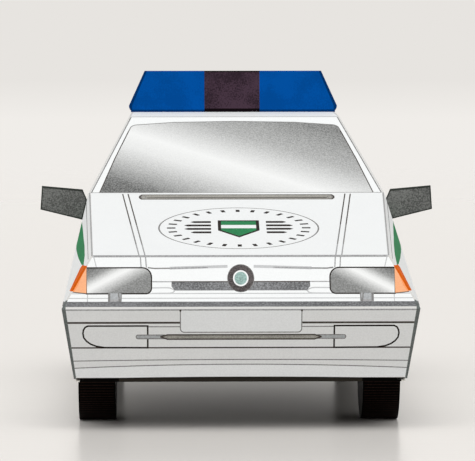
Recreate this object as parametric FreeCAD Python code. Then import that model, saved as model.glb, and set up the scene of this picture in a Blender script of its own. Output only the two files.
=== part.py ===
"""Card model of a police patrol car: a small five-door hatchback cut, folded and glued from printed card.

Row frame, millimetres: X across the car, Y along it with the nose towards -Y, Z up from the ground.
The origin is on the ground, under the middle of the model.
Heights and distances are given from fold to fold: a "run" goes along the car, a "rise" goes up and
a "tuck" is how far a fold lies inside the one before it, measured towards the middle of the car.
"""
import math
import os

import FreeCAD
import Part

V = FreeCAD.Vector

# Card
card = 0.3                  # thickness
fold_round = 0.25           # outer radius of a scored fold

# Side view of the shell
overall_length = 160.6
bumper_rise = 13.2          # from the skirt up to the widest fold
front_skirt_run = 5.5       # the skirt lies this far behind the foremost fold
rear_skirt_run = 4.2
skirt_bow = 0.4             # rise of the bumpers' lower edge at the middle
ledge_rise = 1.2
front_ledge_run = 1.4
rear_ledge_run = 3.0
nose_run = 5.4
nose_rise = 8.1
bonnet_run = 40.6
bonnet_rise = 10.2
screen_run = 24.4
screen_rise = 14.5
roof_arch = 1.1             # from the top of the windscreen to the crest of the roof
roof_fall = 1.0             # from the crest to the top of the rear window
rear_window_run = 17.0
rear_window_drop = 15.7
tailgate_run = 6.6

# Half widths of the shell
door_half = 33.3            # at the widest fold, along the doors
nose_taper = 0.7
tail_taper = 0.8
quarter_run = 42.6          # length over which the rear wings taper
skirt_tuck = 2.05
nose_top_tuck = 5.2
belt_tuck = 4.6
roof_tuck = 7.6             # from the belt to the top corner of the windscreen

# Wheels and axles
front_axle_run = 29.8       # from the nose
rear_axle_run = 28.7        # from the tail
axle_rise = 2.1             # height of the axles above the skirt
axle_radius = 1.5
axle_play = 0.08            # radial play in the floor's walls
tyre_radius = 11.7
tyre_width = 6.95
tyre_tuck = 3.2             # outer face of the tyre inside the doors' widest fold
tread_lap_angle = 22.0      # the tread strip's glued lap
tread_ramp_angle = 14.0     # the outer end climbs on to the inner end over this angle
tread_lap_start = 20.0      # above the horizontal, on the rear side
face_recess = 0.5           # the printed face lies inside the edge of the tread strip
washer_radius = 3.2
washer_thickness = 0.55
washer_play = 0.25          # between a washer and the floor's wall
arch_gap = 1.5              # between a tyre and its arch

# Floor
floor_drop = 0.6            # the floor hangs this far below the skirt
flap_rise = 3.4             # glue flaps inside the bumpers and sills
flap_corner = 2.6           # the flaps stop this far short of the corners
axle_wall_rise = 7.2        # the walls folded up beside the wheels
axle_wall_clip = 2.0        # their clipped upper corners

# Mirrors
mirror_run = 0.5            # behind the foot of the windscreen
mirror_tip_drop = 1.35      # below the belt
mirror_foot_drop = 5.2
mirror_top_rise = 0.7
mirror_top_inset = 0.88     # the top corner starts this far out from the tip
mirror_reach = 7.85
mirror_outer_rise = 1.4
mirror_outer_drop = 3.2
mirror_outer_lean = 0.3
mirror_tab_run = 2.4
mirror_tab_clip = 0.6

# Beacon bar
bar_run = 14.8              # behind the top of the windscreen
bar_depth = 11.0
bar_depth_lean = 1.5
bar_height = 8.1            # above the crest of the roof
bar_overhang = 0.2          # outside the top corners of the windscreen
bar_side_lean = 3.2
bar_foot_round = 1.0        # height of the rounded lower corners
bar_foot_tuck = 0.4

# Heights that follow
skirt_height = tyre_radius - axle_rise
ridge_height = skirt_height + bumper_rise
ledge_height = ridge_height + ledge_rise
nose_top_height = ledge_height + nose_rise
belt_height = nose_top_height + bonnet_rise
screen_top_height = belt_height + screen_rise
roof_crest_height = screen_top_height + roof_arch
roof_rear_height = roof_crest_height - roof_fall
tail_top_height = roof_rear_height - rear_window_drop
floor_height = skirt_height - floor_drop

# Places along the car that follow, measured back from the foremost fold
nose_top_back = front_ledge_run + nose_run
cowl_back = nose_top_back + bonnet_run
screen_top_back = cowl_back + screen_run
tail_foot_back = overall_length - rear_ledge_run
tail_top_back = tail_foot_back - tailgate_run
roof_rear_back = tail_top_back - rear_window_run
quarter_back = overall_length - quarter_run
axle_backs = {"front": front_axle_run, "rear": overall_length - rear_axle_run}

# Half widths that follow
nose_half = door_half - nose_taper
tail_half = door_half - tail_taper
belt_half = door_half - belt_tuck
roof_half = belt_half - roof_tuck
tyre_outer_face = door_half - tyre_tuck
tyre_inner_face = tyre_outer_face - tyre_width
axle_wall_face = tyre_inner_face - washer_thickness - washer_play
arch_radius = tyre_radius + arch_gap

# Folds of the side view, as distance back and height, from the front skirt over the roof to the rear
# skirt. The first and last lie on the ground, on the bumpers' lines.
FOLDS = {
    "front_foot": (front_skirt_run + front_skirt_run * skirt_height / bumper_rise, 0.0),
    "nose": (0.0, ridge_height),
    "front_ledge": (front_ledge_run, ledge_height),
    "bonnet_front": (nose_top_back, nose_top_height),
    "cowl": (cowl_back, belt_height),
    "screen_top": (screen_top_back, screen_top_height),
    "roof_rear": (roof_rear_back, roof_rear_height),
    "tail_top": (tail_top_back, tail_top_height),
    "rear_ledge": (tail_foot_back, ledge_height),
    "tail": (overall_length, ridge_height),
    "rear_foot": (overall_length - rear_skirt_run - rear_skirt_run * skirt_height / bumper_rise, 0.0),
}
FOLD_ORDER = list(FOLDS)
ROOF = FOLD_ORDER.index("screen_top")   # the panel after this fold is arched
PANELS = {
    "front_bumper": ("front_foot", "front_ledge"),
    "nose_panel": ("front_ledge", "bonnet_front"),
    "bonnet_panel": ("bonnet_front", "cowl"),
    "windscreen_panel": ("cowl", "screen_top"),
    "roof_panel": ("screen_top", "roof_rear"),
    "rear_window_panel": ("roof_rear", "tail_top"),
    "tailgate_panel": ("tail_top", "rear_ledge"),
    "rear_bumper": ("rear_ledge", "rear_foot"),
}
REACH = 3 * overall_length  # larger than the model in every direction


def at(x, back, height):
    """Point in the row frame from a distance back from the nose."""
    return V(x, back - overall_length / 2, height)


def prism_across(edges):
    """Solid that runs right across the car with the given side view."""
    wire = Part.Wire(edges)
    wire.translate(V(-REACH / 2, 0, 0))
    return Part.Face(wire).extrude(V(REACH, 0, 0))


def loop(points):
    """Edges of the closed polygon through the points."""
    return Part.makePolygon(points + [points[0]]).Edges


def solid_of(shape):
    """The single solid of a shape, with split faces joined."""
    solids = shape.removeSplitter().Solids
    if len(solids) != 1:
        raise ValueError("expected one solid, found %d" % len(solids))
    return solids[0]


def both_hands(hand, shape):
    """The shape for the car's left, or its mirror image for the right."""
    return shape if hand > 0 else shape.mirror(V(0, 0, 0), V(1, 0, 0))


def roof_circle():
    """Centre and radius of the arched roof in the side view."""
    middle = at(0, (screen_top_back + roof_rear_back) / 2, roof_crest_height)
    arc = Part.Arc(at(0, *FOLDS["screen_top"]), middle, at(0, *FOLDS["roof_rear"])).toShape().Curve
    return arc.Center, arc.Radius


def lines_meet(first, second):
    """Where two lines of the side view, each a point and a direction, cross."""
    p, d = first
    q, e = second
    cross = d.y * e.z - d.z * e.y
    return p + d * (((q.y - p.y) * e.z - (q.z - p.z) * e.y) / cross)


def line_meets_circle(line, centre, radius, near):
    """Where a line of the side view crosses a circle, nearest to a point."""
    p, d = line
    foot = p + d * d.dot(centre - p)
    half = math.sqrt(radius ** 2 - (foot - centre).Length ** 2)
    return min((foot + d * half, foot - d * half), key=lambda end: (end - near).Length)


def side_view(depth):
    """Edges of the side view moved inwards by a depth."""
    corners = [at(0, back, height) for back, height in FOLDS.values()]
    count = len(corners)
    lines = []
    for i in range(count):
        run = (corners[(i + 1) % count] - corners[i]).normalize()
        lines.append((corners[i] + V(0, run.z, -run.y) * depth, run))
    centre, radius = roof_circle()
    inner = []
    for i in range(count):
        if i == ROOF:
            inner.append(line_meets_circle(lines[i - 1], centre, radius - depth, corners[i]))
        elif i == ROOF + 1:
            inner.append(line_meets_circle(lines[i], centre, radius - depth, corners[i]))
        else:
            inner.append(lines_meet(lines[i - 1], lines[i]))
    edges = []
    for i in range(count):
        start = inner[i]
        end = inner[(i + 1) % count]
        if i == ROOF:
            edges.append(Part.Arc(start, centre + V(0, 0, radius - depth), end).toShape())
        else:
            edges.append(Part.makeLine(start, end))
    return edges


def lengthwise_block(depth):
    """Block with the side view of the car, moved inwards by a depth."""
    return prism_across(side_view(depth))


def rounded_lengthwise_block():
    """Block with the outer side view and its scored folds rounded."""
    block = lengthwise_block(0)
    folds = []
    for edge in block.Edges:
        ends = [vertex.Point for vertex in edge.Vertexes]
        if len(ends) == 2 and abs(ends[0].x - ends[1].x) > REACH / 2 and ends[0].z > skirt_height:
            folds.append(edge)
    return block.makeFillet(fold_round, folds)


def plane_x(corners, back, height):
    """Half width of the plane through three corners at a place on the side view."""
    a, b, c = corners
    normal = (b - a).cross(c - a)
    place = at(0, back, height)
    return a.x - (normal.y * (place.y - a.y) + normal.z * (place.z - a.z)) / normal.x


def side_facets():
    """The flat facets of the car's left side, each as three of its corners."""
    nose_fold = at(nose_half, 0, ridge_height)
    door_fold = at(door_half, cowl_back, ridge_height)
    quarter_fold = at(door_half, quarter_back, ridge_height)
    tail_fold = at(tail_half, overall_length, ridge_height)
    nose_skirt = at(nose_half - skirt_tuck, front_skirt_run, skirt_height)
    wing_foot = (nose_fold, door_fold, nose_skirt)
    door_tuck = door_half - plane_x(wing_foot, cowl_back, skirt_height)
    door_skirt = door_fold - V(door_tuck, 0, bumper_rise)
    tail_skirt = tail_fold - V(door_tuck, 0, bumper_rise)
    nose_corner = at(nose_half - nose_top_tuck, nose_top_back, nose_top_height)
    cowl_corner = at(belt_half, cowl_back, belt_height)
    belt_corner = at(belt_half, quarter_back, belt_height)
    screen_corner = at(roof_half, screen_top_back, screen_top_height)
    return {
        "wing_top": (nose_corner, cowl_corner, nose_fold),
        "wing": (cowl_corner, door_fold, nose_fold),
        "door": (cowl_corner, quarter_fold, door_fold),
        "quarter": (belt_corner, tail_fold, quarter_fold),
        "wing_foot": wing_foot,
        "door_foot": (door_fold, quarter_fold, door_skirt),
        "quarter_foot": (quarter_fold, tail_fold, tail_skirt),
        "windows": (cowl_corner, screen_corner, belt_corner),
    }


def block_under(point, normal):
    """Large block on the inner side of a plane."""
    block = Part.makeBox(REACH, REACH, REACH, V(-REACH / 2, -REACH / 2, -REACH))
    block.Placement = FreeCAD.Placement(point, FreeCAD.Rotation(V(0, 0, 1), normal))
    return block


def crosswise_block(depth):
    """Block bounded by the facets of both sides, moved inwards by a depth."""
    block = Part.makeBox(REACH, REACH, REACH, V(-REACH / 2, -REACH / 2, -REACH / 2))
    for a, b, c in side_facets().values():
        normal = (b - a).cross(c - a).normalize()
        if normal.x < 0:
            normal = normal * -1
        facet = block_under(a - normal * depth, normal)
        block = block.common(facet).common(both_hands(-1, facet))
    return block


def above_skirt():
    """Large block above the bumpers' lower edge, which rises towards the middle."""
    half = REACH / 2
    left = V(nose_half, -half, skirt_height)
    right = V(-nose_half, -half, skirt_height)
    bow = Part.Arc(left, V(0, -half, skirt_height + skirt_bow), right).toShape()
    outline = [V(-nose_half, -half, skirt_height), V(-half, -half, skirt_height), V(-half, -half, half),
               V(half, -half, half), V(half, -half, skirt_height), left]
    sides = [Part.makeLine(outline[i], outline[i + 1]) for i in range(len(outline) - 1)]
    return Part.Face(Part.Wire([bow] + sides)).extrude(V(0, REACH, 0))


def fold_sector(i):
    """Wedge right across the car that holds one panel of the strip, parted on its folds' bisectors."""
    corners = [at(0, back, height) for back, height in FOLDS.values()]

    def run(k):
        return (corners[k + 1] - corners[k]).normalize()

    def outward(k):
        both = run(max(k - 1, 0)) + run(min(k, len(corners) - 2))
        return V(0, -both.z, both.y).normalize()

    outer = 2 * (roof_arch + card)
    inner = 4 * card
    a, b = corners[i], corners[i + 1]
    return prism_across(loop([a + outward(i) * outer, b + outward(i + 1) * outer,
                              b - outward(i + 1) * inner, a - outward(i) * inner]))


def strip_panels(inside):
    """The folded strip from bumper to bumper over the roof, with each panel as its own solid."""
    band = rounded_lengthwise_block().cut(lengthwise_block(card)).common(inside).common(above_skirt())
    panels = {}
    for name, (first, last) in PANELS.items():
        sectors = range(FOLD_ORDER.index(first), FOLD_ORDER.index(last))
        pieces = [band.common(fold_sector(i)) for i in sectors]
        shape = pieces[0] if len(pieces) == 1 else pieces[0].fuse(pieces[1:])
        panels[name] = solid_of(shape)
    return panels


def across(radius, axle, x0, x1):
    """Cylinder along X at an axle."""
    return Part.makeCylinder(radius, x1 - x0, at(x0, axle_backs[axle], tyre_radius), V(1, 0, 0))


def side_panel(hand, outside, inside):
    """One side of the car: wing, doors and window band folded from one card, with two arches."""
    half = Part.makeBox(REACH, REACH, REACH, V(0, -REACH / 2, skirt_height))
    panel = outside.cut(inside).common(rounded_lengthwise_block()).common(half)
    for axle in axle_backs:
        panel = panel.cut(across(arch_radius, axle, 0, REACH))
    return both_hands(hand, solid_of(panel))


def axle_wall(axle):
    """Wall folded up from the floor beside a wheel, with the axle's hole and clipped corners."""
    back = axle_backs[axle]
    top = floor_height + axle_wall_rise
    clip = axle_wall_clip
    outline = [(back - arch_radius, floor_height), (back + arch_radius, floor_height),
               (back + arch_radius, top - clip), (back + arch_radius - clip, top),
               (back - arch_radius + clip, top), (back - arch_radius, top - clip)]
    face = Part.Face(Part.Wire(loop([at(axle_wall_face - card, y, z) for y, z in outline])))
    wall = face.extrude(V(card, 0, 0))
    return wall.cut(across(axle_radius + axle_play, axle, 0, axle_wall_face + card))


def floor_panel(inside):
    """Floor folded from one card: flaps glued inside the bumpers and sills, walls that carry the axles."""
    top = floor_height + flap_rise
    slab = Part.makeBox(REACH, REACH, flap_rise, V(-REACH / 2, -REACH / 2, floor_height))
    tray = lengthwise_block(card).common(inside).common(slab)
    hollow = lengthwise_block(2 * card).common(crosswise_block(2 * card))
    tray = tray.cut(hollow.common(Part.makeBox(REACH, REACH, REACH, V(-REACH / 2, -REACH / 2, floor_height + card))))
    box = tray.BoundBox
    for x in (box.XMin, box.XMax):
        for y in (box.YMin, box.YMax):
            corner = Part.makeBox(2 * flap_corner, 2 * flap_corner, top,
                                  V(x - flap_corner, y - flap_corner, floor_height + card))
            tray = tray.cut(corner)
    for hand in (1, -1):
        for axle, back in axle_backs.items():
            well = Part.makeBox(REACH, 2 * arch_radius, REACH, at(axle_wall_face, back - arch_radius, 0))
            tray = tray.cut(both_hands(hand, well)).fuse(both_hands(hand, axle_wall(axle)))
    return solid_of(tray)


def mirror(hand):
    """Flat mirror of one card, folded at its inner edge to a tab that is glued on the door."""
    door = side_facets()["door"]
    back = cowl_back + mirror_run

    def on_door(run, rise):
        height = belt_height + rise
        return at(plane_x(door, back + run, height), back + run, height)

    tip = on_door(0, -mirror_tip_drop)
    foot = on_door(0, -mirror_foot_drop)
    top = at(tip.x + mirror_top_inset, back, belt_height + mirror_top_rise)
    outer_top = at(foot.x + mirror_reach, back, belt_height + mirror_outer_rise)
    outer_foot = at(outer_top.x + mirror_outer_lean, back, belt_height - mirror_outer_drop)
    flap = Part.Face(Part.Wire(loop([tip, top, outer_top, outer_foot, foot]))).extrude(V(0, card, 0))
    tab_top = on_door(mirror_tab_run, -mirror_tip_drop - mirror_tab_clip)
    tab_foot = on_door(mirror_tab_run, -mirror_foot_drop + mirror_tab_clip)
    normal = (tab_foot - foot).cross(tip - foot).normalize()
    tab = Part.Face(Part.Wire(loop([foot, tip, tab_top, tab_foot]))).extrude(normal * card)
    return both_hands(hand, solid_of(flap.fuse(tab)))


def beacon_bar():
    """Hollow folded bar, open below, with its lower edge cut to the arch of the roof."""
    half = roof_half + bar_overhang
    low = roof_crest_height
    high = low + bar_height
    front = screen_top_back + bar_run

    def outline(side):
        foot = at(side * (half - bar_foot_tuck), front, low)
        bulge = at(side * (half - bar_foot_tuck / 5), front, low + bar_foot_round / 2)
        shoulder = at(side * half, front, low + bar_foot_round)
        return foot, bulge, shoulder, at(side * (half - bar_side_lean), front, high)

    left, right = outline(1), outline(-1)
    deep = V(0, 0, roof_arch)
    edges = [Part.makeLine(left[0] - deep, left[0]), Part.Arc(*left[:3]).toShape(), Part.makeLine(left[2], left[3]),
             Part.makeLine(left[3], right[3]), Part.makeLine(right[3], right[2]), Part.Arc(*right[2::-1]).toShape(),
             Part.makeLine(right[0], right[0] - deep), Part.makeLine(right[0] - deep, left[0] - deep)]
    wire = Part.Wire(edges)
    wire.translate(V(0, -REACH / 2, 0))
    front_view = Part.Face(wire).extrude(V(0, REACH, 0))
    spread = bar_depth_lean / bar_height * deep.z
    end_view = prism_across(loop([
        at(0, front - spread, low - deep.z), at(0, front + bar_depth + spread, low - deep.z),
        at(0, front + bar_depth - bar_depth_lean, high), at(0, front + bar_depth_lean, high)]))
    block = front_view.common(end_view)
    foot_face = min(block.Faces, key=lambda face: face.CenterOfMass.z)
    shell = block.makeThickness([foot_face], -card, 0.001, False, False, 0, 2)
    return solid_of(shell.cut(lengthwise_block(0)))


def tread_strip(hand, axle):
    """Strip rolled to a drum, with its outer end lapped over its inner end and glued."""
    def rim(radius, degrees):
        angle = math.radians(degrees)
        return at(tyre_inner_face, axle_backs[axle] + radius * math.cos(angle), tyre_radius + radius * math.sin(angle))

    ramp = tread_lap_start - tread_ramp_angle
    end = tread_lap_start + tread_lap_angle
    raised = tyre_radius + card
    edges = [
        Part.Arc(rim(tyre_radius, end), rim(tyre_radius, (end + ramp) / 2 + 180), rim(tyre_radius, ramp)).toShape(),
        Part.makeLine(rim(tyre_radius, ramp), rim(raised, tread_lap_start)),
        Part.Arc(rim(raised, tread_lap_start), rim(raised, (tread_lap_start + end) / 2), rim(raised, end)).toShape(),
        Part.makeLine(rim(raised, end), rim(tyre_radius, end)),
    ]
    drum = Part.Face(Part.Wire(edges)).extrude(V(tyre_width, 0, 0))
    drum = drum.cut(across(tyre_radius - card, axle, tyre_inner_face - card, tyre_outer_face + card))
    return both_hands(hand, solid_of(drum))


def wheel_disc(hand, axle, x0):
    """Card disc that fits inside a tread strip."""
    return both_hands(hand, across(tyre_radius - card, axle, x0, x0 + card))


def wheel_back(hand, axle):
    """Inner disc of a wheel, with the axle's hole."""
    hole = both_hands(hand, across(axle_radius, axle, 0, tyre_outer_face))
    return wheel_disc(hand, axle, tyre_inner_face).cut(hole)


def washers(axle):
    """Card washers glued inside the two wheels of an axle, to keep them off the floor's walls."""
    x0 = tyre_inner_face - washer_thickness
    washer = across(washer_radius, axle, x0, tyre_inner_face).cut(across(axle_radius, axle, 0, tyre_outer_face))
    return Part.makeCompound([washer, both_hands(-1, washer)])


def wheel_set(axle):
    """All pieces of one axle with its two wheels."""
    face_back = tyre_outer_face - face_recess - card
    pieces = {
        axle + "_axle": across(axle_radius, axle, -face_back, face_back),
        axle + "_washers": washers(axle),
    }
    for side, hand in (("left", 1), ("right", -1)):
        stem = "%s_%s_" % (axle, side)
        pieces[stem + "tread"] = tread_strip(hand, axle)
        pieces[stem + "wheel_face"] = wheel_disc(hand, axle, face_back)
        pieces[stem + "wheel_back"] = wheel_back(hand, axle)
    return pieces


def build():
    """Every piece of the model, by node name."""
    outside = crosswise_block(0)
    inside = crosswise_block(card)
    pieces = strip_panels(inside)
    for side, hand in (("left", 1), ("right", -1)):
        pieces[side + "_side_panel"] = side_panel(hand, outside, inside)
        pieces[side + "_mirror"] = mirror(hand)
    pieces["floor_panel"] = floor_panel(inside)
    pieces["beacon_bar"] = beacon_bar()
    for axle in axle_backs:
        pieces.update(wheel_set(axle))
    return pieces


def main():
    os.makedirs("parts", exist_ok=True)
    for name, shape in build().items():
        shape.exportStep(os.path.join("parts", name + ".step"))
        print("%-24s solids %d  volume %8.2f  valid %s" % (name, len(shape.Solids), shape.Volume, shape.isValid()))


main()
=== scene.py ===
"""Looks of a card model police car: print on folded card, black paper wheels, a pale table and soft light.

X runs across with the car's own left at +X, the nose looks towards -Y, and Z is up. Drawings are in
millimetres: across the car, back from the line of the nose, and up from the ground.
"""
import math

import bmesh
import bpy
from mathutils import Matrix, Vector
from mathutils.geometry import delaunay_2d_cdt


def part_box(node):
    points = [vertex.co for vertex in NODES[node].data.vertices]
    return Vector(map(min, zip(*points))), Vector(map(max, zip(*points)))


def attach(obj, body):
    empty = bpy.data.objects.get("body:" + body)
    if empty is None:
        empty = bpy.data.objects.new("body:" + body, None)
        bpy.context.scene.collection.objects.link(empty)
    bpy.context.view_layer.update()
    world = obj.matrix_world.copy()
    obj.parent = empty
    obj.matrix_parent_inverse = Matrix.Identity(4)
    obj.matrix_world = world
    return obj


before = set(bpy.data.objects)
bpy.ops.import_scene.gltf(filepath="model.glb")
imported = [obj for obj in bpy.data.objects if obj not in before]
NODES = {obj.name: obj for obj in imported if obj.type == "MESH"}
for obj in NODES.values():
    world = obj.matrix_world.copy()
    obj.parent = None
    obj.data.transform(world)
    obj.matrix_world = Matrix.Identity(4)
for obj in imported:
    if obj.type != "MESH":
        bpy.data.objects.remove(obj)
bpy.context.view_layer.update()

MM = 0.001
NOSE_LINE = -80.3           # where the foremost fold lies along Y
INK_RISE = 0.02             # how far a print stands on its card
FAR = 200.0                 # past the edge of any panel

# Folds of the shell that the drawings meet
SKIRT = 9.6
RIDGE = 22.8
LEDGE = 24.0
NOSE_TOP = 32.1
NOSE_TOP_BACK = 6.8
COWL_BACK = 47.4
ROOF_FRONT_BACK = 71.8
ROOF_CREST = 57.9
BAR_FRONT = 86.6
BAR_DEPTH = 11.0
TAIL_TOP = 41.2
AXLE_HEIGHT = 11.7
AXLE_BACKS = (29.8, 131.9)
ARCH_RADIUS = 13.2


# Node trees

MIX_FACTOR, MIX_A, MIX_B, MIX_RESULT = 0, 6, 7, 2   # colour sockets of a Mix node


class Value:
    """A socket with arithmetic: each operator adds a Math node to its tree."""

    def __init__(self, nodes, socket):
        self.nodes = nodes
        self.socket = socket

    def math(self, operation, *values):
        return self.nodes.add("ShaderNodeMath", {"operation": operation}, dict(enumerate(values)))

    def __add__(self, other):
        return self.math("ADD", self, other)

    def __sub__(self, other):
        return self.math("SUBTRACT", self, other)

    def __rsub__(self, other):
        return self.math("SUBTRACT", other, self)

    def __mul__(self, other):
        return self.math("MULTIPLY", self, other)

    def __truediv__(self, other):
        return self.math("DIVIDE", self, other)

    def __rtruediv__(self, other):
        return self.math("DIVIDE", other, self)

    __radd__ = __add__
    __rmul__ = __mul__

    def __abs__(self):
        return self.math("ABSOLUTE", self)

    def __or__(self, other):
        """Full where either of two shares is."""
        return self.math("MAXIMUM", self, other)


class Nodes:
    """A node tree, drawn up node by node."""

    def __init__(self, tree):
        self.tree = tree
        self.tree.nodes.clear()

    def add(self, kind, settings=None, sockets=None, out=0):
        """Adds a node: settings first, then the values or links of its sockets. Returns one output."""
        node = self.tree.nodes.new(kind)
        for key, value in (settings or {}).items():
            if key == "stops":
                self.set_stops(node.color_ramp, value)
            else:
                setattr(node, key, value)
        for key, value in (sockets or {}).items():
            if isinstance(value, Value):
                self.tree.links.new(value.socket, node.inputs[key])
            else:
                node.inputs[key].default_value = value
        return Value(self, node.outputs[out]) if len(node.outputs) else None

    @staticmethod
    def set_stops(ramp, stops):
        while len(ramp.elements) < len(stops):
            ramp.elements.new(1.0)
        for element, (place, colour) in zip(ramp.elements, stops):
            element.position = place
            element.color = colour


class Shader(Nodes):
    """The node tree of a material or world."""

    def __init__(self, owner):
        owner.use_nodes = True
        self.owner = owner
        super().__init__(owner.node_tree)

    def place(self):
        """Where a point lies, in millimetres."""
        coordinates = self.add("ShaderNodeTexCoord", out="Object")
        return self.add("ShaderNodeVectorMath", {"operation": "SCALE"}, {0: coordinates, "Scale": 1 / MM})

    def parts(self, vector):
        """The X, Y and Z of a vector."""
        split = self.add("ShaderNodeSeparateXYZ", None, {0: vector})
        outputs = split.socket.node.outputs
        return [Value(self, outputs[i]) for i in range(3)]

    def noise(self, place, scale, detail=2.0, roughness=0.5):
        """Soft noise about 0.5, with so many cells to a millimetre."""
        return self.add("ShaderNodeTexNoise", None,
                        {"Vector": place, "Scale": scale, "Detail": detail, "Roughness": roughness})

    def grain(self, place):
        """Fine noise of the toner."""
        return self.noise(place, GRAIN_CELLS, 2.0, 0.6)

    def mix(self, factor, a, b):
        """A colour between two colours."""
        return self.add("ShaderNodeMix", {"data_type": "RGBA"}, {MIX_FACTOR: factor, MIX_A: a, MIX_B: b}, MIX_RESULT)

    def surface(self, colour, roughness, bump, bump_depth, gloss):
        """Ends the material in one Principled shader over a bump."""
        normal = self.add("ShaderNodeBump", None, {"Strength": 1.0, "Distance": bump_depth * MM, "Height": bump})
        face = self.add("ShaderNodeBsdfPrincipled", None, {
            "Base Color": colour, "Roughness": roughness, "Normal": normal, "Specular IOR Level": gloss})
        self.add("ShaderNodeOutputMaterial", None, {"Surface": face})
        return self.owner


def linear(level):
    """A display level from 0 to 255 as a linear share of light."""
    share = level / 255
    return share / 12.92 if share <= 0.04045 else ((share + 0.055) / 1.055) ** 2.4


def colour(red, green, blue, lift=1.0):
    """Linear colour from display levels, made lighter or darker by a factor."""
    return tuple(min(linear(level) * lift, 1.0) for level in (red, green, blue)) + (1.0,)


# Finishes of card, toner and light

FIBRE_CELLS = 2.2           # card fibres to a millimetre
GRAIN_CELLS = 3.6           # toner grains to a millimetre
CLOUD_CELLS = 0.16          # uneven toner, clouds to a millimetre
FIBRE_DEPTH = 0.02          # depths of the bumps, in millimetres
GRAIN_DEPTH = 0.006
GRAIN_CONTRAST = 4          # stretches the middle of the noise over both tones
TONER_ROUGHNESS = 0.4       # of its smoothest places
FLOOR_GREY_HALF = 22.3      # how far the grey of the floor reaches each way
FLOOR_PRINT_HALF = 29.5     # and all of its print


def plain_card():
    """Unprinted back and cut edges of the card."""
    finish = Shader(bpy.data.materials.new("plain_card"))
    place = finish.place()
    fibre = finish.noise(place, FIBRE_CELLS, 4.0, 0.6)
    cloud = finish.noise(place, CLOUD_CELLS)
    tone = finish.mix(fibre * 0.6 + cloud * 0.4, colour(228, 226, 218), colour(244, 243, 238))
    return finish.surface(tone, fibre * 0.15 + 0.72, fibre, FIBRE_DEPTH, 0.2)


def toner(name, level, grain, clouds=1.2):
    """Printed side of the card in one colour, with the grain of the toner. Full toner shines least."""
    finish = Shader(bpy.data.materials.new(name))
    place = finish.place()
    speck = finish.grain(place)
    cloud = finish.noise(place, CLOUD_CELLS)
    blend = (speck - 0.5) * GRAIN_CONTRAST + (cloud - 0.5) * clouds + 0.5
    tone = finish.mix(blend, colour(*level, 1 - grain), colour(*level, 1 + grain))
    gloss = 0.02 + 0.12 * min(level) / 255
    return finish.surface(tone, speck * 0.2 + TONER_ROUGHNESS, speck, GRAIN_DEPTH, gloss)


def floor_toner():
    """Dark grey floor, black where it runs past the wheels, bare at its outer folds."""
    finish = Shader(bpy.data.materials.new("floor_print"))
    place = finish.place()
    speck = finish.grain(place)
    out = abs(finish.parts(place)[0])
    sharp = 20                  # full change over a twentieth of a millimetre
    print_tone = finish.mix((out - FLOOR_GREY_HALF) * sharp, colour(47, 44, 39), colour(4, 3, 2))
    tone = finish.mix((out - FLOOR_PRINT_HALF) * sharp, print_tone, colour(240, 238, 232))
    return finish.surface(tone, speck * 0.2 + TONER_ROUGHNESS, speck, GRAIN_DEPTH, 0.02)


def shaded_toner(name, levels, measure, grain):
    """Printed reflection: grey levels at places along a measure that runs over the panel. The grain
    grows with the share of toner."""
    finish = Shader(bpy.data.materials.new(name))
    place = finish.place()
    low, high = levels[0][0], levels[-1][0]
    along = (measure(*finish.parts(place)) - low) / (high - low)
    shades = []
    for sign in (-1, 1):
        stops = []
        for spot, level in levels:
            tone = min(level + sign * grain * (254 - level), 252)
            stops.append(((spot - low) / (high - low), colour(tone, tone + 1, tone)))
        shades.append(finish.add("ShaderNodeValToRGB", {"stops": stops}, {0: along}))
    speck = finish.grain(place)
    tone = finish.mix((speck - 0.5) * GRAIN_CONTRAST + 0.5, *shades)
    return finish.surface(tone, speck * 0.15 + TONER_ROUGHNESS, speck, GRAIN_DEPTH, 0.12)


# Grey levels across printed glass and lamps, by height plus a share of the place across or along
SCREEN_SLANT = 0.297
SCREEN_LEVELS = [(36.0, 113), (37.6, 117), (41.7, 197), (44.6, 233), (47.5, 245), (50.6, 216), (53.5, 181),
                 (57.0, 160), (59.8, 136)]
LAMP_SLANT = 0.5
LAMP_LEVELS = [(36.5, 139), (37.4, 149), (38.8, 205), (39.9, 246), (40.5, 239), (41.2, 205), (42.0, 155),
               (43.5, 115)]
SIDE_SLANT = 0.45
SIDE_LEVELS = [(60.0, 120), (70.0, 165), (78.0, 244), (86.0, 190), (94.0, 140), (103.0, 180), (108.0, 240),
               (116.0, 180)]
REAR_LEVELS = [(36.0, 118), (41.0, 150), (46.0, 205), (49.0, 244), (53.0, 200), (60.0, 135)]

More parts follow.
